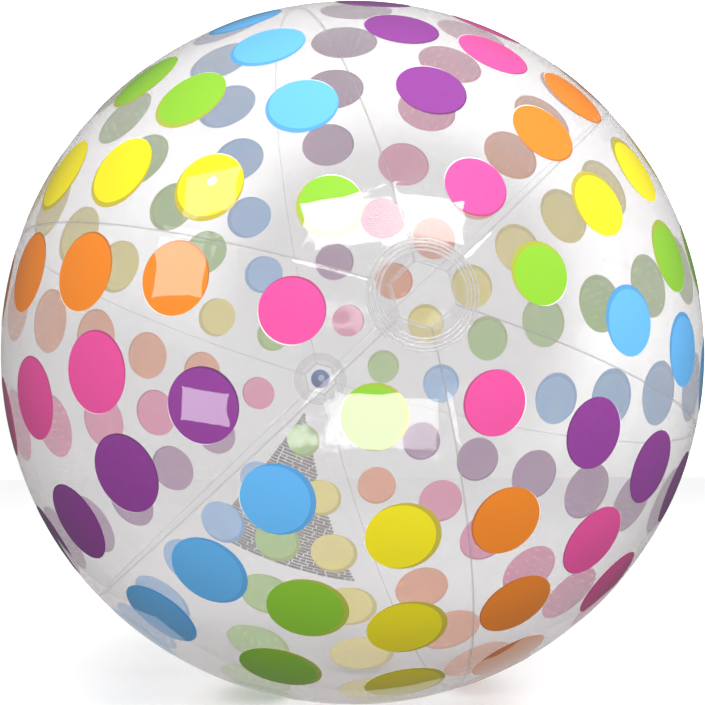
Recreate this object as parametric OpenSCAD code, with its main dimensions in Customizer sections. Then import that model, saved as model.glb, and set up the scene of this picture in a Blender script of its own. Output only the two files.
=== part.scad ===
// Inflatable beach ball: six welded film gores, two pole discs and a push-in valve.
// Origin at the ball's centre, +Z up. The pole axis is Y: the plain disc faces -Y,
// the valve faces +Y.

/* [Ball] */
// Outer radius of the inflated film
ball_r = 340; // [220:5:450]
// Thickness of the gore film
film_t = 0.3; // [0.25:0.05:0.6]
// Direction of the first gore's middle, seen from the plain pole, 90 is up
first_gore_angle = 134; // [0:1:360]

/* [Seams] */
// Depth of the welded margin that stands inwards from each seam
seam_depth = 3; // [1.5:0.5:6]
// Corner radius of the six-sided hole that the gore tips leave at each pole
tip_hole_r = 22; // [20:0.5:30]

/* [Pole discs] */
// Radius of each pole disc
disc_r = 38; // [34:0.5:60]
// Thickness of a pole disc
disc_t = 0.4; // [0.3:0.05:0.8]
// Number of raised weld rings on a disc
ring_count = 4; // [2:1:4]
// Distance from one weld ring to the next
ring_pitch = 2.7; // [1.8:0.1:2.7]
// Width of a weld ring
ring_w = 0.9; // [0.6:0.1:1.2]
// Height of a weld ring above the disc
ring_h = 0.25; // [0.15:0.05:0.4]

/* [Valve body] */
// Radius of the valve's flange, welded under the disc
flange_r = 13.5; // [13:0.5:16]
// Thickness of the flange at its edge
flange_t = 1.3; // [1:0.1:2]
// Radius of the recess that the stem is pushed into
recess_r = 10.5; // [10:0.1:11.5]
// Depth of the recess below the disc
recess_depth = 13.4; // [12:0.1:18]
// Wall of the diaphragm that lets the stem move
diaphragm_t = 0.6; // [0.4:0.1:0.9]
// Length of the stem
stem_length = 13; // [11:0.5:14]
// Outer radius of the stem
stem_r = 6; // [5.4:0.1:6.4]
// Radius of the stem's bore
bore_r = 4.15; // [3.6:0.05:4.4]
// Radius of the opening that the check flap closes
seat_r = 3.2; // [2.4:0.1:3.4]
// Length of the seat at the inner end of the bore
seat_length = 1.2; // [0.8:0.1:2]
// Height of the bead round the stem's mouth
bead_h = 1.6; // [1:0.1:2.2]
// How far the bead stands out from the stem
bead_out = 0.8; // [0.4:0.1:1]

/* [Plug and flap] */
// Length of the plug's shank in the bore
shank_length = 4.5; // [3:0.1:5]
// How much thinner the shank is at its end
shank_taper = 0.9; // [0.7:0.05:1.1]
// Thickness of the plug's head
head_t = 1.3; // [1:0.1:1.5]
// Radius of the plug's head
head_r = 6.6; // [6:0.1:6.8]
// Length of the tab that a finger lifts
tab_length = 2.6; // [1.5:0.1:2.8]
// Width of the strap and of the tab
strap_w = 5; // [3:0.5:6]
// Radius of the strap's round root, which it bends about
strap_root_r = 0.6; // [0.5:0.05:0.8]
// Radius of the check flap
flap_r = 4.6; // [4.2:0.1:4.8]
// Thickness of the check flap
flap_t = 0.6; // [0.4:0.1:0.8]

/* [Clearances] */
// Radial gap between the plug's shank and the bore
plug_gap = 0.05; // [0.02:0.01:0.1]
// Gap between pieces that move past each other
moving_gap = 0.3; // [0.2:0.05:0.5]
// Gap between the check flap and its seat
flap_gap = 0.1; // [0.05:0.05:0.3]

/* [Hidden] */
GORES = 6;
$fn = 96;
gore_span = 360 / GORES;
sphere_sides = 180;
first_ring_r = disc_r - (ring_count - 1) * ring_pitch - ring_w / 2;
flange_top_z = sqrt(pow(ball_r, 2) - pow(flange_r, 2));
mouth_z = ball_r + disc_t - head_t;
stem_foot_z = mouth_z - stem_length;
shank_r = bore_r - plug_gap;
recess_floor_z = ball_r - recess_depth;
strap_root_x = stem_r + bead_out + moving_gap + strap_root_r;
flap_pivot_x = flap_r + strap_root_r / 2;
flap_top_z = stem_foot_z - flap_gap;

// The pole axis of the gores and the plain disc: local +Z becomes -Y
module plain_pole_frame() {
    rotate([90, 0, 0]) children();
}

// The valve's own frame: local +Z becomes +Y
module valve_frame() {
    rotate([-90, 0, 0]) children();
}

module ball_shell(outer, inner) {
    difference() {
        sphere(r = outer, $fn = sphere_sides);
        sphere(r = inner, $fn = sphere_sides);
    }
}

// Right half of a round ring in the plane through the pole axis
module half_ring(outer, inner) {
    intersection() {
        difference() {
            circle(r = outer, $fn = sphere_sides);
            circle(r = inner, $fn = sphere_sides);
        }
        translate([0, -outer]) square([outer, 2 * outer]);
    }
}

// Keeps what lies outside the straight cut across the gore's tips
module tip_cut() {
    cut_x = tip_hole_r * cos(gore_span / 2);
    intersection() {
        children();
        translate([cut_x, -ball_r, -1.1 * ball_r])
            cube([ball_r, 2 * ball_r, 2.2 * ball_r]);
    }
}

// Flat margin that stands inwards from a seam, in the local XZ plane
module seam_margin() {
    rotate([90, 0, 0])
        linear_extrude(height = film_t, center = true)
            half_ring(ball_r - film_t / 2, ball_r - film_t - seam_depth);
}

// One gore about the pole axis, with its two margins
module gore(index) {
    plain_pole_frame()
        rotate(first_gore_angle - index * gore_span) {
            tip_cut()
                rotate(-gore_span / 2)
                    rotate_extrude(angle = gore_span, $fn = sphere_sides)
                        half_ring(ball_r, ball_r - film_t);
            for (side = [-1, 1])
                tip_cut()
                    rotate(side * gore_span / 2)
                        translate([0, -side * film_t / 2, 0])
                            seam_margin();
        }
}

module pole_disc(hole_r = 0) {
    difference() {
        union() {
            intersection() {
                ball_shell(ball_r + disc_t, ball_r);
                cylinder(r = disc_r, h = 2 * ball_r);
            }
            for (i = [0:ring_count - 1])
                intersection() {
                    ball_shell(ball_r + disc_t + ring_h, ball_r + disc_t / 2);
                    weld_ring(first_ring_r + i * ring_pitch);
                }
        }
        if (hole_r > 0)
            cylinder(r = hole_r, h = 2 * ball_r);
    }
}

module weld_ring(middle_r) {
    difference() {
        cylinder(r = middle_r + ring_w / 2, h = 2 * ball_r);
        cylinder(r = middle_r - ring_w / 2, h = 2 * ball_r);
    }
}

module front_pole_disc() {
    color("white", 0.4) plain_pole_frame() pole_disc();
}

module back_pole_disc() {
    color("white", 0.4) valve_frame() pole_disc(hole_r = recess_r);
}

module valve_flange() {
    color("dodgerblue") valve_frame()
        translate([0, 0, flange_top_z - flange_t])
            difference() {
                cylinder(r = flange_r, h = flange_t);
                translate([0, 0, -1]) cylinder(r = recess_r, h = flange_t + 2);
            }
}

// Thin wall from the flange down to the stem's foot
module valve_diaphragm() {
    hole_r = stem_r + moving_gap;
    knee_z = recess_floor_z + recess_depth / 3;
    color("lightskyblue") valve_frame()
        rotate_extrude()
            polygon([
                [recess_r, flange_top_z - flange_t],
                [recess_r, knee_z],
                [hole_r, recess_floor_z + diaphragm_t],
                [hole_r, recess_floor_z],
                [recess_r + diaphragm_t, knee_z - diaphragm_t / 2],
                [recess_r + diaphragm_t, flange_top_z - flange_t]
            ]);
}

module valve_stem() {
    color("dodgerblue") valve_frame()
        difference() {
            union() {
                translate([0, 0, stem_foot_z]) cylinder(r = stem_r, h = stem_length);
                translate([0, 0, mouth_z - bead_h]) cylinder(r = stem_r + bead_out, h = bead_h);
            }
            translate([0, 0, stem_foot_z + seat_length]) cylinder(r = bore_r, h = stem_length);
            translate([0, 0, stem_foot_z - 1]) cylinder(r = seat_r, h = stem_length);
        }
}

module valve_plug() {
    color("deepskyblue") valve_frame()
        translate([0, 0, mouth_z]) {
            cylinder(r = head_r, h = head_t);
            translate([0, 0, -shank_length])
                cylinder(r1 = shank_r - shank_taper, r2 = shank_r, h = shank_length);
            translate([0, -strap_w / 2, head_t / 2])
                cube([head_r + tab_length, strap_w, head_t / 2]);
        }
}

// Strap from the plug's head to its round root beside the mouth
module plug_strap() {
    color("deepskyblue") valve_frame()
        translate([-strap_root_x, 0, mouth_z]) {
            rotate([90, 0, 0]) cylinder(r = strap_root_r, h = strap_w, center = true, $fn = 32);
            translate([-strap_root_r, -strap_w / 2, 0]) cube([strap_root_r, strap_w, head_t]);
            translate([-strap_root_r, -strap_w / 2, head_t / 2])
                difference() {
                    cube([strap_root_x, strap_w, head_t / 2]);
                    translate([strap_root_x + strap_root_r, strap_w / 2, -1])
                        cylinder(r = head_r, h = head_t + 2);
                }
        }
}

module check_flap() {
    color("lightskyblue") valve_frame()
        translate([0, 0, flap_top_z - flap_t]) {
            cylinder(r = flap_r, h = flap_t);
            translate([-flap_pivot_x, -seat_r / 2, 0]) cube([flap_pivot_x, seat_r, flap_t]);
        }
}

module film_gore(index) {
    color("white", 0.3) gore(index);
}

film_gore(0);  // gore_1
film_gore(1);  // gore_2
film_gore(2);  // gore_3
film_gore(3);  // gore_4
film_gore(4);  // gore_5
film_gore(5);  // gore_6
front_pole_disc();
back_pole_disc();
valve_flange();
valve_diaphragm();
valve_stem();
valve_plug();
plug_strap();
check_flap();
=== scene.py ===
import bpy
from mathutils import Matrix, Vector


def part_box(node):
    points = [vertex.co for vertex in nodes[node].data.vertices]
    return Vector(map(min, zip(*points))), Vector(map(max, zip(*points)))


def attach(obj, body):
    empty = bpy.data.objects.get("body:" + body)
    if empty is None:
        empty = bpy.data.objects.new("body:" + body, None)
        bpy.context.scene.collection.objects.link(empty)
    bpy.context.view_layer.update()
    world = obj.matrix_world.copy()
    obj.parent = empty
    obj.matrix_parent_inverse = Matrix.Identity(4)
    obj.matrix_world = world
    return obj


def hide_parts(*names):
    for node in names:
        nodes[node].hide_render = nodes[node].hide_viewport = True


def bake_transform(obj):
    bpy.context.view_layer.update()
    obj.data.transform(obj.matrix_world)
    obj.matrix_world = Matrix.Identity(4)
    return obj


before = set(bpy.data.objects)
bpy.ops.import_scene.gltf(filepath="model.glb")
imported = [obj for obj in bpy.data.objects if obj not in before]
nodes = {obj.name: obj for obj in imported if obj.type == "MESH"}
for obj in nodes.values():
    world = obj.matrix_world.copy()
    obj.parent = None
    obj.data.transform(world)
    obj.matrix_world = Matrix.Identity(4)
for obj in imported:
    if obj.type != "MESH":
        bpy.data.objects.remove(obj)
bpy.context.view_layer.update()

import math
import random

import bmesh
import bpy
import numpy as np
from mathutils import Matrix, Vector

goreNames = sorted(name for name in nodes if name.startswith("gore_"))
ballR = max(v.co.length for v in nodes[goreNames[0]].data.vertices)
goreSpan = 2 * math.pi / len(goreNames)
print(f"frame loaded: {len(nodes)} nodes, ball radius {ballR:.4f} m")


def middleAngle(name):  # direction of a gore's middle round the pole axis
    points = [v.co for v in nodes[name].data.vertices]
    rough = math.atan2(sum(p.z for p in points), sum(p.x for p in points))
    off = [math.remainder(math.atan2(p.z, p.x) - rough, 2 * math.pi)
           for p in points if abs(p.y) < ballR * 0.8]
    return rough + (min(off) + max(off)) / 2


def onBall(poleAngle, turn):  # unit directions, the pole angle counted from the plain pole at -Y
    poleAngle, turn = np.broadcast_arrays(poleAngle, turn)
    return np.stack([np.sin(poleAngle) * np.cos(turn), -np.cos(poleAngle),
                     np.sin(poleAngle) * np.sin(turn)], axis=-1)


white = (1.0, 1.0, 1.0, 1.0)
black = (0.0, 0.0, 0.0, 1.0)


class Signal:  # a shader socket that can stand in a sum
    def __init__(self, finish, socket):
        self.finish = finish
        self.socket = socket

    def maths(self, operation, *values, flip=False):
        inputs = [*values, self] if flip else [self, *values]
        return self.finish.node("ShaderNodeMath", {"operation": operation}, dict(enumerate(inputs)))

    def __add__(self, other):
        return self.maths("ADD", other)

    def __sub__(self, other):
        return self.maths("SUBTRACT", other)

    def __rsub__(self, other):
        return self.maths("SUBTRACT", other, flip=True)

    def __mul__(self, other):
        return self.maths("MULTIPLY", other)

    def __truediv__(self, other):
        return self.maths("DIVIDE", other)

    def __pow__(self, other):
        return self.maths("POWER", other)

    __radd__ = __add__
    __rmul__ = __mul__

    def step(self, low, high):  # 0 below low, 1 above high, smooth between
        return self.finish.node("ShaderNodeMapRange", {"interpolation_type": "SMOOTHSTEP"},
                                {"Value": self, "From Min": low, "From Max": high})


class Finish:  # one material and what is drawn in it
    def __init__(self, name):
        self.material = bpy.data.materials.new(name)
        self.material.use_nodes = True
        self.tree = self.material.node_tree
        self.tree.nodes.clear()

    def node(self, kind, settings=None, inputs=None, out=0):
        made = self.tree.nodes.new(kind)
        for key, value in (settings or {}).items():
            setattr(made, key, value)
        for key, value in (inputs or {}).items():
            if isinstance(value, Signal):
                self.tree.links.new(value.socket, made.inputs[key])
            else:
                made.inputs[key].default_value = value
        return Signal(self, made.outputs[out])

    def place(self):
        return self.node("ShaderNodeTexCoord", out=3)

    def attribute(self, name, out=2):
        return self.node("ShaderNodeAttribute", {"attribute_name": name}, out=out)

    def noise(self, scale, detail=3.0, rough=0.5):
        return self.node("ShaderNodeTexNoise", {}, {"Vector": self.place(), "Scale": scale,
                                                    "Detail": detail, "Roughness": rough})

    def mix(self, factor, first, second):
        return self.node("ShaderNodeMix", {"data_type": "RGBA"}, {0: factor, 6: first, 7: second}, out=2)

    def bump(self, height, distance, under=None):
        inputs = {"Height": height, "Distance": distance, "Strength": 1.0}
        if under is not None:
            inputs["Normal"] = under
        return self.node("ShaderNodeBump", {}, inputs)

    def surface(self, inputs, cover=None, behind=white, milky=0.0, through=white):
        # cover: how much of what lies behind is hidden, behind: the tint given to the rest,
        # milky: share of light that comes from the far side, through: that light's colour
        shader = self.node("ShaderNodeBsdfPrincipled", {}, inputs)
        if milky:
            far = self.node("ShaderNodeBsdfTranslucent", {}, {"Color": through})
            shader = self.node("ShaderNodeMixShader", {}, {0: milky, 1: shader, 2: far})
        if cover is not None:
            clear = self.node("ShaderNodeBsdfTransparent", {}, {"Color": behind})
            shader = self.node("ShaderNodeMixShader", {}, {0: cover, 1: clear, 2: shader})
        end = self.tree.nodes.new("ShaderNodeOutputMaterial")
        self.tree.links.new(shader.socket, end.inputs["Surface"])
        return self.material


filmLook = {
    "clearness": (0.947, 0.947, 0.949, 1.0),  # what each film face lets through
    "haze": 0.18,           # how much of each film face is milky or shiny
    "discHazeLess": 0.05,   # what the discs have less of that
    "cloudScale": 14.0,     # size of the cloudy patches in the haze
    "limbHaze": 0.38,       # what is added where the film is seen edge on, partly the film's haze and partly painted shade in the dark limb colour
    "seamHaze": 0.24,       # what is added on a weld
    "discSeamHaze": 0.55,
    "farDiscSeamHaze": 0.3,
    "tipHaze": 0.3,         # and on the cut edge of a gore's tip, drawn white: partly the cut edge, partly a painted highlight
    "underlapClear": 0.97,  # how clear the margins inside the ball are
    "tint": (0.86, 0.85, 0.855, 1.0),
    # painted shade: the film is drawn dark grey where it is seen edge on
    "limbTint": (0.36, 0.35, 0.345, 1.0),
    "weldTint": (0.62, 0.62, 0.63, 1.0),
    "discWeldTint": (0.93, 0.92, 0.92, 1.0),
    "shine": 0.25,          # mirror share of that
    "milky": 0.5,
    "milkyTint": (0.78, 0.77, 0.775, 1.0),
    "gloss": 0.03,
    "waviness": 0.0012,
    "discWaviness": 0.6,    # as a share of that
    "waveScale": 9.0,
    "rippleScale": 70.0,
    "ripple": 0.05,         # height of the fine ripples, as a share of the waves
    "ior": 1.52,
}


def filmFinish(name, haze=filmLook["haze"], wave=1.0, weldTint=filmLook["weldTint"],
               seamHaze=filmLook["seamHaze"]):
    f = Finish(name)
    slow = f.noise(filmLook["waveScale"], 2.0)
    fine = f.noise(filmLook["rippleScale"], 3.0)
    weld = f.attribute("weld")
    margin = f.attribute("margin")
    tip = f.attribute("tip")
    facing = f.node("ShaderNodeLayerWeight", {}, {"Blend": 0.5}, out=1) * (1 - tip)
    cloud = f.noise(filmLook["cloudScale"], 3.0) * 0.8 + 0.6
    cover = facing ** 3.0 * filmLook["limbHaze"] + weld * seamHaze + cloud * haze
    cover = cover * (1 - margin * filmLook["underlapClear"]) + tip * filmLook["tipHaze"]
    waves = f.bump(slow, filmLook["waviness"] * wave)
    ripples = f.bump(fine, filmLook["waviness"] * wave * filmLook["ripple"], under=waves)
    # the cut edges at the gore tips are drawn white, partly a painted highlight
    body = f.mix(tip, f.mix(weld, filmLook["tint"], weldTint), white)
    # painted shade: the film's colour darkens towards the outline, where it is seen edge on
    tone = f.mix(facing ** 4.0, body, filmLook["limbTint"])
    return f.surface({
        "Base Color": tone, "Roughness": fine * 0.05 + filmLook["gloss"], "Normal": ripples,
        "Metallic": filmLook["shine"] + weld * 0.1, "IOR": filmLook["ior"],
    }, cover=cover, behind=filmLook["clearness"], milky=filmLook["milky"], through=filmLook["milkyTint"])


inkLook = {
    "throughGlow": 0.42,    # painted glow on the print's inner side, standing in for light that comes through the print
    "bleed": 0.05,          # how white that painted glow is
    "showThrough": 0.27,    # how much white covers the ink on the inner face
    "innerWhite": (0.85, 0.84, 0.85, 1.0),
    "outerWhite": (0.95, 0.95, 0.95, 1.0),
    "whiteEdge": (0.965, 0.985),  # where the white backing fades out, as a share of its radius
    "ragged": 0.06,         # depth of the teeth on its inner edge
    "raggedScale": 420.0,
    "bareEdge": (0.98, 1.0),  # where ink without backing begins
    "bareClearness": 0.18,
    "mottleScale": 160.0,
    "mottle": 0.08,
    "mottleTint": (0.30, 0.30, 0.30, 1.0),
    "roughness": 0.3,
    "gloss": {"Specular IOR Level": 0.1, "Coat Weight": 1.0, "Coat IOR": 1.8, "Coat Roughness": 0.02},
}


def inkFinish(name, backing=False):
    f = Finish(name)
    ink = f.attribute("ink", out=0)
    fringe = f.attribute("fringe", out=0)
    spot = f.attribute("spot", out=1)
    misfit = f.attribute("misfit", out=1)
    backed = f.attribute("backed")
    outer = f.attribute("outer")
    # painted glow: the inner face of each print layer emits the ink's colour, standing in for light that
    # comes through the print
    paintedGlow = f.mix(outer, f.mix(inkLook["bleed"], ink, white), black)
    mottle = f.noise(inkLook["mottleScale"], 4.0, 0.6)
    if backing:  # white underprint, its inner face tinted by the ink that shows through
        pastel = f.mix(inkLook["showThrough"], ink, inkLook["innerWhite"])
        tone = f.mix(outer.step(0.4, 0.6), pastel, inkLook["outerWhite"])
        radius = f.node("ShaderNodeVectorMath", {"operation": "LENGTH"}, {0: spot}, out=1)
        teeth = (f.noise(inkLook["raggedScale"], 2.0) - 0.5) * (1 - outer) * inkLook["ragged"]
        cover = 1 - (radius + teeth).step(*inkLook["whiteEdge"])
    else:
        away = f.node("ShaderNodeVectorMath", {"operation": "ADD"}, {0: spot, 1: misfit})
        radius = f.node("ShaderNodeVectorMath", {"operation": "LENGTH"}, {0: away}, out=1)
        bare = (radius / backed).step(*inkLook["bareEdge"])
        tone = f.mix(bare, ink, fringe)
        cover = 1 - bare * inkLook["bareClearness"]
    dull = f.mix(mottle * inkLook["mottle"], tone, inkLook["mottleTint"])
    relief = f.bump(f.noise(filmLook["waveScale"], 2.0), filmLook["waviness"])
    f.material.cycles.emission_sampling = "NONE"
    return f.surface({
        "Base Color": dull, "Roughness": mottle * 0.1 + inkLook["roughness"], "Normal": relief,
        "Emission Color": paintedGlow, "Emission Strength": inkLook["throughGlow"], **inkLook["gloss"],
    }, cover=cover)


def vinylFinish(name, tone, gloss=0.3):
    f = Finish(name)
    cloud = f.noise(220.0, 3.0)
    grain = f.noise(1600.0, 2.0)
    shade = f.mix(cloud * 0.5, tone, tuple(0.7 * c for c in tone[:3]) + (1.0,))
    return f.surface({
        "Base Color": shade, "Roughness": cloud * 0.15 + gloss, "Normal": f.bump(grain, 0.00006),
        "Subsurface Weight": 0.25, "Subsurface Radius": (0.002, 0.003, 0.004), "Subsurface Scale": 1.0,
        "Coat Weight": 0.4, "Coat Roughness": 0.12,
    })


def panelFinish(name):
    f = Finish(name)
    worn = f.noise(300.0, 3.0)
    tone = f.mix(worn, (0.14, 0.135, 0.13, 1.0), (0.30, 0.29, 0.28, 1.0))
    return f.surface({"Base Color": tone, "Roughness": worn * 0.2 + 0.4}, cover=1.05 - worn * 0.4)


# mesh helpers

def makeObject(name, verts, faces, material=None, smooth=True):
    mesh = bpy.data.meshes.new(name)
    mesh.from_pydata([tuple(v) for v in verts], [], [tuple(f) for f in faces])
    mesh.validate()
    if smooth:
        mesh.shade_smooth()
    piece = bpy.data.objects.new(name, mesh)
    bpy.context.scene.collection.objects.link(piece)
    if material:
        mesh.materials.append(material)
    return piece


def settle(piece):  # turns a piece with modifiers into a plain mesh
    graph = bpy.context.evaluated_depsgraph_get()
    ready = bpy.data.meshes.new_from_object(
        piece.evaluated_get(graph), preserve_all_data_layers=True, depsgraph=graph)
    piece.modifiers.clear()
    piece.data = ready
    return piece


def setPoints(mesh, name, kind, values):
    attribute = mesh.attributes.new(name, kind, "POINT")
    key = {"FLOAT_VECTOR": "vector", "FLOAT_COLOR": "color"}.get(kind, "value")
    attribute.data.foreach_set(key, np.asarray(values, np.float32).ravel())


def gridFaces(rows, cols):
    low = np.arange(rows - 1)[:, None] * cols + np.arange(cols - 1)[None, :]
    return np.stack([low, low + 1, low + cols + 1, low + cols], axis=-1).reshape(-1, 4)


# the six gores

poleDisc = {
    "t": 0.0004,
    "gap": 0.00008,
    "r": 0.038,
    "ringPitch": 0.0027,
    "rings": 4,
    "ringW": 0.0006,
    "ringH": 0.0006,
    "ringLineW": 0.0005,    # width of the milky line on a ring
    "ringInset": 0.00045,   # from the rim to the outermost ring
    "rimFade": 0.0003,
    "ringMilk": 0.75,
    "bandMilk": 0.08,       # what the whole weld band has over the plain middle
    "steps": 150,
}

gore = {
    "filmT": 0.0003,
    "tipHoleR": 0.022,      # corner radius of the hole left by the tips
    "seamDepth": 0.003,     # margin that stands inwards
    "seamGap": 0.00004,
    "grooveDepth": 0.0003,  # how far the film dips at a weld
    "grooveW": 0.0016,
    "pucker": 0.00012,      # height of the puckers beside a weld
    "puckerPitch": 0.017,
    "puckerStart": 0.003,
    "puckerReach": 0.012,
    "weldW": 0.0004,        # width of the line drawn by a weld
    "tipEdgeW": 0.0006,
    "discClear": 0.6,       # how clear the film is under a pole disc, where two layers lie close
    "rows": 301,
    "cols": 61,
    "marginCols": 4,
}


def filmDip(seam, along, away):  # radial offset of the film, by its distance from a numbered seam
    groove = -gore["grooveDepth"] * np.exp(-(away / gore["grooveW"]) ** 2 / 2)
    phase = along / gore["puckerPitch"] * 2 * math.pi
    wave = (np.sin(phase + 1.7 * seam) + 0.6 * np.sin(1.37 * phase + 2.9 * seam)
            + 0.4 * np.sin(2.3 * phase + seam))
    fade = np.exp(-away / gore["puckerReach"]) * (1 - np.exp(-(away / gore["puckerStart"]) ** 2))
    return groove + gore["pucker"] * wave * fade


def makeGore(index, name, material):
    half = goreSpan / 2
    across = half * np.sin(np.linspace(-math.pi / 2, math.pi / 2, gore["cols"]))
    share = np.linspace(0, 1, gore["rows"])[:, None]
    tipX = gore["tipHoleR"] * math.cos(half)
    start = np.arcsin(tipX / (ballR * np.cos(across)))[None, :]
    polar = start + share * (math.pi - 2 * start)
    along = ballR * polar
    toHigh = ballR * np.sin(polar) * (half - across)[None, :]  # distance to the seam on each side
    toLow = ballR * np.sin(polar) * (half + across)[None, :]
    radius = ballR + filmDip(index, along, toHigh) + filmDip((index + 1) % len(goreNames), along, toLow)
    middle = middleAngle(name)
    film = onBall(polar, middle + across[None, :]) * radius[..., None]
    side = np.array([-math.sin(middle), 0, math.cos(middle)])
    depths = np.linspace(1, 0, gore["marginCols"], endpoint=False) * gore["seamDepth"]
    lowFin = [film[:, 0] * (1 - d / radius[:, 0, None]) for d in depths]
    highFin = [film[:, -1] * (1 - d / radius[:, -1, None]) for d in depths[::-1]]
    columns = np.concatenate([np.stack(lowFin, 1), film, np.stack(highFin, 1)], axis=1)
    inward = np.zeros(columns.shape[1])
    inward[:len(depths) + 1] = 1
    inward[-len(depths) - 1:] = -1
    columns = columns + inward[None, :, None] * gore["seamGap"] * side * math.cos(half)
    rows, cols = columns.shape[:2]
    piece = makeObject(name + "_film", columns.reshape(-1, 3), gridFaces(rows, cols)[:, ::-1], material)
    weld = np.exp(-(np.minimum(toHigh, toLow) / gore["weldW"]) ** 2)
    tipEdge = ballR * np.minimum(polar - start, math.pi - start - polar)
    tip = np.exp(-(tipEdge / gore["tipEdgeW"]) ** 2)
    underDisc = np.where(ballR * np.minimum(polar, math.pi - polar) < poleDisc["r"], gore["discClear"], 0.0)
    fins = ((0, 0), (len(depths), len(depths)))
    for label, values, finValue in (("tip", tip, 0.0), ("weld", weld, 0.0), ("margin", underDisc, 1.0)):
        setPoints(piece.data, label, "FLOAT", np.pad(values, fins, constant_values=finValue))
    return piece


def thicken(piece):
    wall = piece.modifiers.new("wall", "SOLIDIFY")
    wall.thickness = gore["filmT"]
    wall.offset = -1
    wall.use_even_offset = False
    return settle(piece)


filmMaterial = filmFinish("clearFilm")
films = {}
for index, name in enumerate(goreNames):
    films[name] = thicken(makeGore(index, name, filmMaterial))
print("gores made:", len(films), "films,", sum(len(p.data.polygons) for p in films.values()), "faces")


# what is printed on the film

dots = {
    "rowAngles": (15.1, 27.9, 41.8, 56.8, 73.2, 90.0),  # from the nearer pole, in degrees
    "rowSlip": 0.5,           # the print sits this much nearer the plain pole
    "sideAngles": (0.0, 7.5, 12.7, 17.3, 19.6, 20.2),    # of the outer dots in each row
    "smallR": 0.018,
    "growR": 0.018,           # added at the equator
    "driftPlain": (0.1, -2.8, -0.5, -2.2, -1.6, -1.8),   # sideways drift of each gore's print
    "driftValve": (1.1, -2.3, -0.9, -0.9, 0.1, 0.2),
    "lift": 0.00006,
    "layerT": 0.00005,
    "misfit": (0.0011, 0.0022),  # how far ink and white backing miss each other
    "misfitSide": (1, -0.4),     # the sideways part as a share of that, on odd and even gores
    "worseMisfit": 1.5,          # times that on the valve half
    "backed": (0.955, 1.005),    # radius of the white backing, as a share of the ink's, on odd and even gores
}
inks = {  # printed colour, then the colour where it has no white backing
    "yellow": ((0.92, 0.79, 0.006), (0.55, 0.46, 0.04)),
    "green": ((0.27, 0.60, 0.028), (0.45, 0.50, 0.05)),
    "blue": ((0.13, 0.49, 0.93), (0.09, 0.38, 0.75)),
    "purple": ((0.275, 0.043, 0.305), (0.15, 0.03, 0.17)),
    "pink": ((0.82, 0.080, 0.34), (0.50, 0.06, 0.22)),
    "orange": ((0.87, 0.24, 0.012), (0.55, 0.16, 0.03)),
}
schemes = (("yellow", "green", "blue"), ("purple", "pink", "orange"))


def discShape():
    sides, rings = 64, 3
    turn = np.arange(sides) * 2 * math.pi / sides
    radii = np.linspace(0, 1, rings + 1)[1:]
    flat = [(0.0, 0.0)] + [(r * math.cos(a), r * math.sin(a)) for r in radii for a in turn]
    count = len(flat)
    verts = [(x, y, 0.0) for x, y in flat] * 2
    faces = []
    for i in range(sides):
        j = (i + 1) % sides
        faces.append((0, 1 + i, 1 + j))
        for ring in range(rings - 1):
            a, b = 1 + ring * sides, 1 + (ring + 1) * sides
            faces.append((a + i, b + i, b + j, a + j))
    under = [tuple(count + v for v in reversed(face)) for face in faces]
    rim = 1 + (rings - 1) * sides
    wall = [(rim + (i + 1) % sides, rim + i, count + rim + i, count + rim + (i + 1) % sides)
            for i in range(sides)]
    return flat, verts, faces + under + wall


def barShape():
    cells = 5
    flat = [(-1 + 2 * i / cells, y) for y in (-1.0, 1.0) for i in range(cells + 1)]
    count = len(flat)
    wide = cells + 1
    faces = [(i, i + 1, wide + i + 1, wide + i) for i in range(cells)]
    under = [tuple(count + v for v in reversed(face)) for face in faces]
    loop = list(range(wide)) + list(range(2 * wide - 1, wide - 1, -1))
    wall = [(b, a, count + a, count + b) for a, b in zip(loop, loop[1:] + loop[:1])]
    return flat, [(x, y, 0.0) for x, y in flat] * 2, faces + under + wall


def stencil(name, shape):
    flat, verts, faces = shape
    piece = makeObject(name, verts, faces)
    rim = [math.hypot(x, y) > 0.999 for x, y in flat] * 2
    for edge in piece.data.edges:
        edge.use_edge_sharp = all(rim[v] for v in edge.vertices)
    setPoints(piece.data, "outer", "FLOAT", [1.0] * len(flat) + [0.0] * len(flat))
    setPoints(piece.data, "spot", "FLOAT_VECTOR", verts)
    piece.hide_render = True
    return piece


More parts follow.
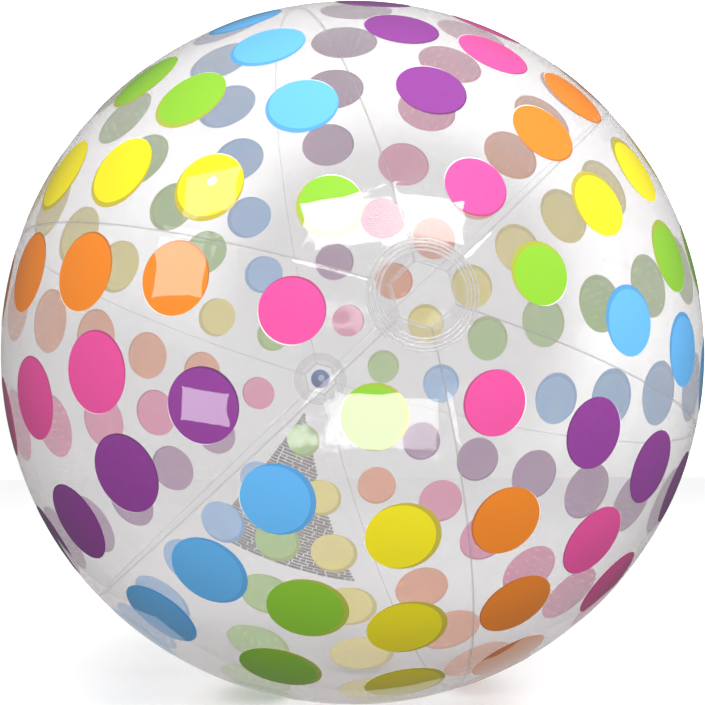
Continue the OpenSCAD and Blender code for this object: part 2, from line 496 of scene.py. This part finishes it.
def printTree():  # lays flat shapes on the film at points, following its surface
    tree = bpy.data.node_groups.new("printOnFilm", "GeometryNodeTree")
    face = tree.interface
    face.new_socket("Geometry", in_out="OUTPUT", socket_type="NodeSocketGeometry")
    for label, kind in (("Geometry", "Geometry"), ("Film", "Object"), ("Shape", "Object"), ("Lift", "Float"),
                        ("Layer", "Float"), ("Reach", "Float"), ("Ink", "Material")):
        face.new_socket(label, in_out="INPUT", socket_type="NodeSocket" + kind)

    def add(kind, settings=None, links=None):
        node = tree.nodes.new(kind)
        for key, value in (settings or {}).items():
            setattr(node, key, value)
        for key, value in (links or {}).items():
            if isinstance(value, bpy.types.NodeSocket):
                tree.links.new(value, node.inputs[key])
            else:
                node.inputs[key].default_value = value
        return node

    def named(name, kind):
        return add("GeometryNodeInputNamedAttribute", {"data_type": kind}, {"Name": name}).outputs[0]

    def vector(operation, inputs):
        return add("ShaderNodeVectorMath", {"operation": operation}, inputs).outputs[0]

    def maths(operation, *inputs):
        return add("ShaderNodeMath", {"operation": operation}, dict(enumerate(inputs))).outputs[0]

    def scaled(direction, amount):
        return vector("SCALE", {0: direction, "Scale": amount})

    given = add("NodeGroupInput").outputs
    shape = add("GeometryNodeObjectInfo", {}, {"Object": given["Shape"]}).outputs["Geometry"]
    film = add("GeometryNodeObjectInfo", {}, {"Object": given["Film"]}).outputs["Geometry"]
    spread = add("GeometryNodeInstanceOnPoints", {}, {
        "Points": given["Geometry"], "Instance": shape, "Rotation": named("turn", "QUATERNION"),
        "Scale": named("reach", "FLOAT_VECTOR")})
    solid = add("GeometryNodeRealizeInstances", {}, {"Geometry": spread.outputs[0]})
    out = vector("NORMALIZE", {0: add("GeometryNodeInputPosition").outputs[0]})
    standOff = maths("ADD", given["Reach"], 0.01)  # the ray starts this far outside the ball
    cast = add("GeometryNodeRaycast", {}, {"Target Geometry": film, "Source Position": scaled(out, standOff),
                                           "Ray Direction": scaled(out, -1.0), "Ray Length": 0.03})
    missed = scaled(out, given["Reach"])
    found = add("GeometryNodeSwitch", {"input_type": "VECTOR"}, {
        "Switch": cast.outputs["Is Hit"], "False": missed, "True": cast.outputs["Hit Position"]}).outputs[0]
    height = maths("MULTIPLY_ADD", named("outer", "FLOAT"), given["Layer"], given["Lift"])
    raised = vector("ADD", {0: found, 1: scaled(out, height)})
    laid = add("GeometryNodeSetPosition", {}, {"Geometry": solid.outputs[0], "Position": raised})
    inked = add("GeometryNodeSetMaterial", {}, {"Geometry": laid.outputs[0], "Material": given["Ink"]})
    end = add("NodeGroupOutput")
    tree.links.new(inked.outputs[0], end.inputs[0])
    return tree


def layPrint(name, points, film, shape, material, level):  # level: how many layers lie under this one
    piece = makeObject(name, points["place"], [], material, smooth=False)
    mesh = piece.data
    setPoints(mesh, "turn", "QUATERNION", [tuple(q) for q in points["turn"]])
    setPoints(mesh, "reach", "FLOAT_VECTOR", points["reach"])
    for key in ("ink", "fringe"):
        if key in points:
            setPoints(mesh, key, "FLOAT_COLOR", [(*c, 1.0) for c in points[key]])
    if "misfit" in points:
        setPoints(mesh, "misfit", "FLOAT_VECTOR", points["misfit"])
        setPoints(mesh, "backed", "FLOAT", points["backed"])
    lift = dots["lift"] + level * dots["layerT"]
    given = {"Film": film, "Shape": shape, "Lift": lift, "Layer": dots["layerT"], "Reach": ballR,
             "Ink": material}
    modifier = piece.modifiers.new("print", "NODES")
    modifier.node_group = printOnFilm
    for item in printOnFilm.interface.items_tree:
        if item.in_out == "INPUT" and item.name in given:
            modifier[item.identifier] = given[item.name]
    return settle(piece)


def printFrame(middle, rowAngle, sideAngle):  # where a printed spot lies, and the turn that lays it there
    centre = onBall(rowAngle, middle)
    across = np.array([-math.sin(middle), 0.0, math.cos(middle)])
    place = centre * math.cos(sideAngle) + across * math.sin(sideAngle)
    sideways = Vector(across * math.cos(sideAngle) - centre * math.sin(sideAngle))
    out = Vector(place)
    along = out.cross(sideways)
    turn = Matrix((sideways, along, out)).transposed().to_quaternion()
    return place, turn, sideways, along


def dotPoints(index, name, backing):
    middle = middleAngle(name)
    scheme = schemes[index % 2]
    points = {key: [] for key in ("place", "turn", "reach", "ink", "fringe", "misfit", "backed")}
    plainRows = [angle - dots["rowSlip"] for angle in dots["rowAngles"]]
    valveRows = [180 - angle - dots["rowSlip"] for angle in dots["rowAngles"][-2::-1]]
    offSide = dots["misfit"][1] * dots["misfitSide"][index % 2]
    backed = dots["backed"][index % 2]
    for row, angle in enumerate(plainRows + valveRows):
        band = min(row, 10 - row)
        wide = dots["sideAngles"][band]
        spots = {0: [(1, 0.0)], 1: [(0, wide), (2, -wide)]}.get(band, [(0, wide), (1, 0.0), (2, -wide)])
        drift = np.interp(angle, (0, 180), (dots["driftPlain"][index], dots["driftValve"][index]))
        radius = dots["smallR"] + dots["growR"] * math.sin(math.radians(angle))
        for column, side in spots:
            place, turn, sideways, along = printFrame(
                middle, math.radians(angle), math.radians(side + drift))
            worse = 1.0 if angle < 90 else dots["worseMisfit"]
            shift = (sideways * offSide + along * dots["misfit"][0]) * worse
            centre = place * ballR - np.array(shift) * (0.5 if backing else -0.5)
            points["place"].append(centre)
            points["turn"].append(turn)
            size = radius * backed if backing else radius
            points["reach"].append((size, size, size))
            points["backed"].append(backed)
            for key, colour in zip(("ink", "fringe"), inks[scheme[column]]):
                points[key].append(colour)
            points["misfit"].append((offSide * worse / radius, dots["misfit"][0] * worse / radius, 0.0))
    return points


panel = {
    "gore": 4,
    "apex": (8.8, -1.4),     # angle from the valve pole and sideways angle, in degrees
    "lowBase": (45.8, -15.2),
    "highBase": (49.4, 17.7),
    "pitch": 0.0047,
    "barH": 0.00205,
    "dash": (0.006, 0.024),
    "gap": 0.0012,
    "seed": 11,
}


def panelPoints(name):  # rows of plain dashes that fill a triangle
    rng = random.Random(panel["seed"])
    middle = middleAngle(name)
    points = {key: [] for key in ("place", "turn", "reach")}
    apex, low, high = (np.radians(panel[key]) for key in ("apex", "lowBase", "highBase"))
    rows = int(((low + high) / 2 - apex)[0] * ballR / panel["pitch"])
    for row in range(1, rows + 1):
        start, end = apex + (low - apex) * row / rows, apex + (high - apex) * row / rows
        wide = (end - start)[1] * ballR
        slope = math.atan2((end - start)[0], (end - start)[1])
        x = 0.0
        while x < wide - 0.003:
            dash = min(rng.uniform(*panel["dash"]), wide - x)
            angle, side = start + (end - start) * (x + dash / 2) / wide
            place, turn, _, _ = printFrame(middle, math.pi - angle, side)
            points["place"].append(place * ballR)
            points["turn"].append(turn @ Matrix.Rotation(slope, 3, "Z").to_quaternion())
            points["reach"].append((dash / 2, panel["barH"] * rng.uniform(0.8, 1.1), 1.0))
            x += dash + panel["gap"]
    return points


printOnFilm = printTree()
disc = stencil("dotStencil", discShape())
bar = stencil("dashStencil", barShape())
inkMaterial = inkFinish("printedInk")
backingMaterial = inkFinish("whiteBacking", backing=True)
prints = []
for index, name in enumerate(goreNames):
    for suffix, backing, material, level in (
            ("_backing", True, backingMaterial, 0), ("_dots", False, inkMaterial, 2)):
        points = dotPoints(index, name, backing)
        prints.append(layPrint(name + suffix, points, films[name], disc, material, level))
panelName = goreNames[panel["gore"]]
panelMaterial = panelFinish("greyPrint")
prints.append(layPrint(panelName + "_panel", panelPoints(panelName), films[panelName], bar, panelMaterial, 4))
for spare in (disc, bar):
    bpy.data.objects.remove(spare)
print("print laid:", len(prints), "pieces,", sum(len(p.data.polygons) for p in prints), "faces")


# turned pieces

def lathe(name, profile, material, segments=128, pole=1):  # a closed outline turned about the Y axis
    outline = np.array(profile, float)
    turn = np.arange(segments) * 2 * math.pi / segments
    verts, ring = [], []
    for r, h in outline:
        if r < 1e-7:
            ring.append([len(verts)] * segments)
            verts.append((0.0, pole * h, 0.0))
        else:
            ring.append(list(range(len(verts), len(verts) + segments)))
            verts += [(r * math.cos(a), pole * h, r * math.sin(a)) for a in turn]
    faces = []
    for i in range(len(ring)):
        low, high = ring[i], ring[(i + 1) % len(ring)]
        for j in range(segments):
            k = (j + 1) % segments
            corners = list(dict.fromkeys([low[j], low[k], high[k], high[j]]))
            if len(corners) > 2:
                faces.append(corners)
    piece = makeObject(name, verts, faces, material)
    fixNormals(piece)
    return piece


def fixNormals(piece):
    work = bmesh.new()
    work.from_mesh(piece.data)
    bmesh.ops.remove_doubles(work, verts=work.verts, dist=1e-7)
    bmesh.ops.recalc_face_normals(work, faces=work.faces)
    work.to_mesh(piece.data)
    work.free()


def rounded(piece, width, segments=3):
    edge = piece.modifiers.new("edge", "BEVEL")
    edge.width = width
    edge.segments = segments
    edge.limit_method = "ANGLE"
    edge.angle_limit = math.radians(35)
    return settle(piece)


def ringShape(radii, width):  # 1 on each weld ring, falling to 0 between them
    outermost = poleDisc["r"] - poleDisc["ringInset"]
    return sum(np.exp(-((radii - (outermost - i * poleDisc["ringPitch"])) / width) ** 2)
               for i in range(poleDisc["rings"]))


def discProfile(holeR):  # over the ball's curve, with raised weld rings
    radii = np.linspace(holeR, poleDisc["r"], poleDisc["steps"])
    drop = np.sqrt(ballR ** 2 - radii ** 2)
    rings = poleDisc["ringH"] * ringShape(radii, poleDisc["ringW"])
    top = drop + poleDisc["t"] + rings * np.clip((poleDisc["r"] - radii) / poleDisc["rimFade"], 0, 1)
    bottom = drop + poleDisc["gap"]
    return list(zip(radii, top)) + list(zip(radii[::-1], bottom[::-1]))


def makeDisc(name, holeR, pole, seamHaze):
    haze = filmLook["haze"] - filmLook["discHazeLess"]
    material = filmFinish(name + "Film", haze, filmLook["discWaviness"], filmLook["discWeldTint"], seamHaze)
    piece = lathe(name, discProfile(holeR), material, 192, pole)
    radii = np.array([math.hypot(v.co.x, v.co.z) for v in piece.data.vertices])
    band = radii > poleDisc["r"] - poleDisc["rings"] * poleDisc["ringPitch"]
    weld = ringShape(radii, poleDisc["ringLineW"]) * poleDisc["ringMilk"] + band * poleDisc["bandMilk"]
    setPoints(piece.data, "weld", "FLOAT", weld)
    return piece


flangeLow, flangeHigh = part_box("valve_flange")
stemLow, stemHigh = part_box("valve_stem")
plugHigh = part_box("valve_plug")[1]
skirtLow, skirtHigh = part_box("valve_diaphragm")
flapLow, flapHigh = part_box("check_flap")
strapLow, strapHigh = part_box("plug_strap")
skirtT = 0.0006
recessR = skirtHigh.z - skirtT  # hole in the disc and the flange
frontDisc = makeDisc("front_disc", 0.0, -1, filmLook["discSeamHaze"])
backDisc = makeDisc("back_disc", recessR, 1, filmLook["farDiscSeamHaze"])
print("discs made")

valve = {
    "boreR": 0.00415,
    "seatR": 0.0032,
    "seatL": 0.0012,
    "beadH": 0.0016,
    "stemR": 0.006,
    "headR": 0.0066,
    "headT": 0.0013,
    "shankL": 0.0045,
    "shankTaper": 0.0009,
    "plugGap": 0.00005,
    "blue": (0.035, 0.16, 0.52, 1.0),
    "deepBlue": (0.025, 0.12, 0.44, 1.0),
    "clear": (0.45, 0.55, 0.75, 1.0),
}
bodyVinyl = vinylFinish("valveVinyl", valve["blue"])
plugVinyl = vinylFinish("plugVinyl", valve["deepBlue"], 0.22)
flapVinyl = vinylFinish("flapVinyl", valve["clear"], 0.2)


def makeFlange():
    low, high, r = flangeLow.y, flangeHigh.y, flangeHigh.x
    outline = [(recessR, low), (r, low), (r, high), (recessR, high)]
    return rounded(lathe("flange", outline, bodyVinyl), 0.0003)


def makeSkirt():  # the thin wall that turns over as the stem is pulled
    top, bottom = skirtHigh.y, skirtLow.y
    holeR = valve["stemR"] + 0.0002
    share = np.linspace(0, 1, 25)
    depth = top - bottom - skirtT
    bulge = 0.0005 * np.sin(share * math.pi * 4) * np.sin(share * math.pi)  # shallow pleats
    inner = [(holeR + (recessR - holeR) * (1 - s ** 2.2) + b, top - depth * s ** 0.8)
             for s, b in zip(share, bulge)]
    outer = [(r + skirtT, h - skirtT * (r < recessR - 1e-6)) for r, h in inner][::-1]
    return lathe("skirt", inner + outer, bodyVinyl)


def makeStem():
    foot, mouth = stemLow.y, stemHigh.y
    beadR = stemHigh.x
    outline = [(valve["seatR"], foot), (valve["stemR"], foot), (valve["stemR"], mouth - valve["beadH"]),
               (beadR, mouth - valve["beadH"]), (beadR, mouth), (valve["boreR"], mouth),
               (valve["boreR"], foot + valve["seatL"]), (valve["seatR"], foot + valve["seatL"])]
    return rounded(lathe("stem", outline, bodyVinyl), 0.00025)


def joined(name, parts):
    work = bmesh.new()
    for part in parts:
        work.from_mesh(part.data)
    work.to_mesh(parts[0].data)
    work.free()
    for part in parts[1:]:
        bpy.data.objects.remove(part)
    parts[0].name = name
    return parts[0]


def slab(name, outline, low, high, material):  # a flat outline in XZ, as a plate between two heights
    count = len(outline)
    verts = [(x, h, z) for h in (low, high) for x, z in outline]
    faces = [tuple(range(count)), tuple(range(2 * count - 1, count - 1, -1))]
    faces += [(i, count + i, count + (i + 1) % count, (i + 1) % count) for i in range(count)]
    piece = makeObject(name, verts, faces, material)
    fixNormals(piece)
    return piece


def circle(radius, count):
    return arc(radius, count + 1, 0.0, 2 * math.pi)[:-1]


def arc(radius, count, start, end):
    return [(radius * math.cos(a), radius * math.sin(a)) for a in np.linspace(start, end, count)]


def makePlug():
    mouth = plugHigh.y - valve["headT"]
    topR = valve["boreR"] - valve["plugGap"]
    foot, root = mouth - valve["shankL"], mouth + 0.0002  # the shank's root lies inside the head
    profile = [(0.0, foot), (topR - valve["shankTaper"], foot), (topR, root), (0.0, root)]
    shank = rounded(lathe("shank", profile, plugVinyl, 96), 0.0003)
    head = rounded(slab("head", circle(valve["headR"], 96), mouth, plugHigh.y, plugVinyl), 0.0003)
    halfTab = 0.0025
    curve = [(plugHigh.x - halfTab + x, z) for x, z in arc(halfTab, 17, -math.pi / 2, math.pi / 2)]
    tab = slab("tab", [(0.0, -halfTab)] + curve + [(0.0, halfTab)], mouth + valve["headT"] / 2,
               plugHigh.y - 0.00002, plugVinyl)
    return joined("plug", [head, shank, rounded(tab, 0.0002)])


def makeStrap():  # a band that curls from the head down to its root beside the mouth
    mouth = strapHigh.y - valve["headT"]
    rootX = strapLow.x + 0.0006
    halfW = (strapHigh.z - strapLow.z) / 2
    t = 0.0006
    line = [(-valve["headR"] + 0.0004, mouth + 0.00095)]
    line += [(rootX + 0.0004 + x, mouth + 0.00035 + h) for x, h in arc(0.0006, 9, math.pi / 2, math.pi)]
    line += [(rootX - 0.0002, mouth - 0.0001), (rootX - 0.0001, mouth - 0.0003)]
    verts, faces = [], []
    for i, (x, h) in enumerate(line):
        ahead, behind = line[min(i + 1, len(line) - 1)], line[max(i - 1, 0)]
        slope = Vector((ahead[0] - behind[0], ahead[1] - behind[1])).normalized()
        nx, nh = -slope.y * t / 2, slope.x * t / 2
        verts += [(x + way * nx, h + way * nh, z * halfW) for way, z in ((1, -1), (1, 1), (-1, 1), (-1, -1))]
    for i in range(len(line) - 1):
        a, b = 4 * i, 4 * i + 4
        faces += [(a + j, a + (j + 1) % 4, b + (j + 1) % 4, b + j) for j in range(4)]
    faces += [(3, 2, 1, 0), tuple(range(len(verts) - 4, len(verts)))]
    piece = makeObject("strap", verts, faces, plugVinyl)
    fixNormals(piece)
    return rounded(piece, 0.00015, 2)


def makeFlap():
    r = flapHigh.x
    tabX, halfTab = flapLow.x, 0.0016
    meet = math.asin(halfTab / r)
    outline = arc(r, 72, -math.pi + meet, math.pi - meet) + [(tabX, halfTab), (tabX, -halfTab)]
    return rounded(slab("flap", outline, flapLow.y, flapHigh.y, flapVinyl), 0.00015, 2)


flange, skirt, stem, plug, strap, flap = (make() for make in
                                          (makeFlange, makeSkirt, makeStem, makePlug, makeStrap, makeFlap))
print("valve made")


# what rides on what

for name, film in films.items():
    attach(film, "root")
    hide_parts(name)
for piece in prints:
    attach(piece, "root")
for piece, node, body, slot in (
        (frontDisc, "front_pole_disc", "root", "disc_film"),
        (backDisc, "back_pole_disc", "root", "disc_film"),
        (flange, "valve_flange", "root", "valve_vinyl"), (stem, "valve_stem", "stem", "valve_vinyl"),
        (plug, "valve_plug", "plug", "plug_vinyl"), (strap, "plug_strap", "plug", "plug_vinyl"),
        (flap, "check_flap", "flap", "flap_vinyl")):
    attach(piece, body)
    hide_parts(node)
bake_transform(skirt)
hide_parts("valve_diaphragm")


# floor, light and camera

studio = {
    "floorReach": 6.0,
    "floorGap": 0.0005,
    "floorTone": (0.72, 0.72, 0.725, 1.0),
    "floorPatch": (0.70, 0.70, 0.70, 1.0),
    "floorGlow": 0.37,
    "above": 0.86,              # soft light from the upper half of the room
    "below": 0.07,
    "softRange": (-0.5, 0.7),   # heights between which that light changes
    "mirrored": 0.09,           # how bright the room looks in a reflection
    "backdrop": (1.0, 1.9),     # behind the middle of the ball and low, then high up; seen through the film, the dim part is painted shade and the bright part painted light
    "slant": 0.35,              # how much the high part leans to the right
    "slantRange": (0.03, 0.3),
    "greySpot": (11, 9.6),      # azimuth and elevation of the grey part of the backdrop, a painted shade seen through the middle of the ball
    "spotEdge": (0.97, 0.987),  # cosines of its radius, outer and inner
    "standOff": 2.6,            # camera distance, in ball radii
    "frameFill": 0.998,         # the ball's outline as a share of the frame
    "azimuth": 7.86,            # to the left of the plain pole
    "elevation": -6.51,
    "sensor": 36.0,
}


def makeFloor():
    reach, z = studio["floorReach"], -ballR - studio["floorGap"]
    corners = [(-reach, -reach, z), (reach, -reach, z), (reach, reach, z), (-reach, reach, z)]
    floor = makeObject("floor", corners, [(0, 1, 2, 3)], smooth=False)
    f = Finish("paleFloor")
    cloud = f.noise(3.0, 2.0)
    floor.data.materials.append(f.surface({
        "Base Color": f.mix(cloud * 0.1, studio["floorTone"], studio["floorPatch"]),
        "Roughness": cloud * 0.1 + 0.7, "Specular IOR Level": 0.1,
        "Emission Color": white, "Emission Strength": studio["floorGlow"]}))
    floor.visible_diffuse = False
    floor.visible_glossy = False
    floor.visible_shadow = False


def aim(azimuth, elevation):
    a, e = math.radians(azimuth), math.radians(elevation)
    return Vector((math.sin(a) * math.cos(e), -math.cos(a) * math.cos(e), math.sin(e)))


# place: azimuth and elevation of the ray from the highlight on the ball to the lamp, and its length in metres
# size: width and height as seen from there
# all angles are in degrees
lamps = {
    "key": {"place": (3, 32.6, 2.2), "size": (46, 16), "brightness": 11},
    "overhead": {"place": (25, 78, 1.7), "size": (60, 60), "brightness": 1.7, "mirrored": False},
    "lowFill": {"place": (2, -26, 1.6), "size": (34, 16), "brightness": 7},
    "sideWindow": {"place": (-54, -19, 1.6), "size": (15, 9.5), "brightness": 4, "roll": -16},
    "sideHigh": {"place": (-59, 39, 1.6), "size": (15, 13), "brightness": 2.4, "roll": 20},
    "sideSpot": {"place": (-60, 42, 1.6), "size": (3, 3), "brightness": 12, "shape": "ELLIPSE"},
    "sideSoft": {"place": (-61, 19, 1.6), "size": (16, 18), "brightness": 3},
    "rightFill": {"place": (80, 25, 2.0), "size": (50, 60), "brightness": 1.5, "mirrored": False},
    "underGlow": {"place": (175, -28, 1.6), "size": (70, 36), "brightness": 0.5},
}


def softbox(name, place, size, brightness, shape="RECTANGLE", roll=0.0, mirrored=True):
    azimuth, elevation, distance = place
    toward = aim(azimuth, elevation)
    eye = aim(-studio["azimuth"], studio["elevation"]) * studio["standOff"]
    normal = toward
    for _ in range(6):  # the spot that mirrors the lamp to the camera
        normal = (toward + (eye - normal).normalized()).normalized()
    lamp = bpy.data.lights.new(name, "AREA")
    wide, high = (2 * distance * math.tan(math.radians(angle) / 2) for angle in size)
    lamp.shape, lamp.size, lamp.size_y = shape, wide, high
    lamp.energy = brightness * math.pi * wide * high * (math.pi / 4 if shape == "ELLIPSE" else 1)
    turn = Matrix.Rotation(math.radians(roll), 3, "Z").to_quaternion()
    holder = bpy.data.objects.new(name, lamp)
    holder.location = normal * ballR + toward * distance
    holder.rotation_euler = (toward.to_track_quat("Z", "Y") @ turn).to_euler()
    holder.visible_camera = False
    holder.visible_glossy = mirrored
    bpy.context.scene.collection.objects.link(holder)


def makeWorld():  # one brightness for soft light, one for reflections, one for what is seen behind the ball
    world = bpy.data.worlds.new("studio")
    bpy.context.scene.world = world
    world.use_nodes = True
    tree = world.node_tree
    tree.nodes.clear()

    def add(kind, settings=None, inputs=None):
        node = tree.nodes.new(kind)
        for key, value in (settings or {}).items():
            setattr(node, key, value)
        for key, value in (inputs or {}).items():
            if isinstance(value, bpy.types.NodeSocket):
                tree.links.new(value, node.inputs[key])
            else:
                node.inputs[key].default_value = value
        return node.outputs

    def fall(source, start, end, low, high):
        return add("ShaderNodeMapRange", {"interpolation_type": "SMOOTHSTEP"}, {
            "Value": source, "From Min": start, "From Max": end, "To Min": low, "To Max": high})["Result"]

    def sky(strength):
        return add("ShaderNodeBackground", {}, {"Color": white, "Strength": strength})[0]

    direction = add("ShaderNodeTexCoord")["Generated"]
    split = add("ShaderNodeSeparateXYZ", {}, {0: direction})
    slant = add("ShaderNodeMath", {"operation": "MULTIPLY_ADD"},
                {0: split["X"], 1: studio["slant"], 2: split["Z"]})[0]
    # painted shade and light: the backdrop the camera sees is dimmer behind the ball's middle and low down,
    # and brighter high up and to the right, so the film looks shaded and lit that way
    middle = add("ShaderNodeVectorMath", {"operation": "DOT_PRODUCT"}, {
        0: direction, 1: -aim(*(-angle for angle in studio["greySpot"]))})["Value"]
    low, high = studio["backdrop"]
    aside = fall(middle, *studio["spotEdge"], high, low)
    backdrop = fall(slant, *studio["slantRange"], low, aside)
    soft = fall(split["Z"], *studio["softRange"], studio["below"], studio["above"])
    rays = add("ShaderNodeLightPath")
    last = sky(soft)
    for ray, strength in (("Is Glossy Ray", studio["mirrored"]), ("Is Camera Ray", backdrop)):
        last = add("ShaderNodeMixShader", {}, {0: rays[ray], 1: last, 2: sky(strength)})[0]
    add("ShaderNodeOutputWorld", {}, {0: last})


def makeCamera():
    toward = aim(-studio["azimuth"], studio["elevation"])
    data = bpy.data.cameras.new("camera")
    data.sensor_width = studio["sensor"]
    data.lens = studio["sensor"] * studio["frameFill"] / 2 * math.sqrt(studio["standOff"] ** 2 - 1)
    data.clip_start = 0.01
    camera = bpy.data.objects.new("camera", data)
    camera.location = toward * studio["standOff"] * ballR
    camera.rotation_euler = toward.to_track_quat("Z", "Y").to_euler()
    bpy.context.scene.collection.objects.link(camera)
    bpy.context.scene.camera = camera


makeFloor()
makeWorld()
makeCamera()
for lampName, setup in lamps.items():
    softbox(lampName, **setup)
bpy.context.scene.view_settings.view_transform = "Standard"
bpy.context.scene.cycles.transparent_max_bounces = 40
print("stage set")
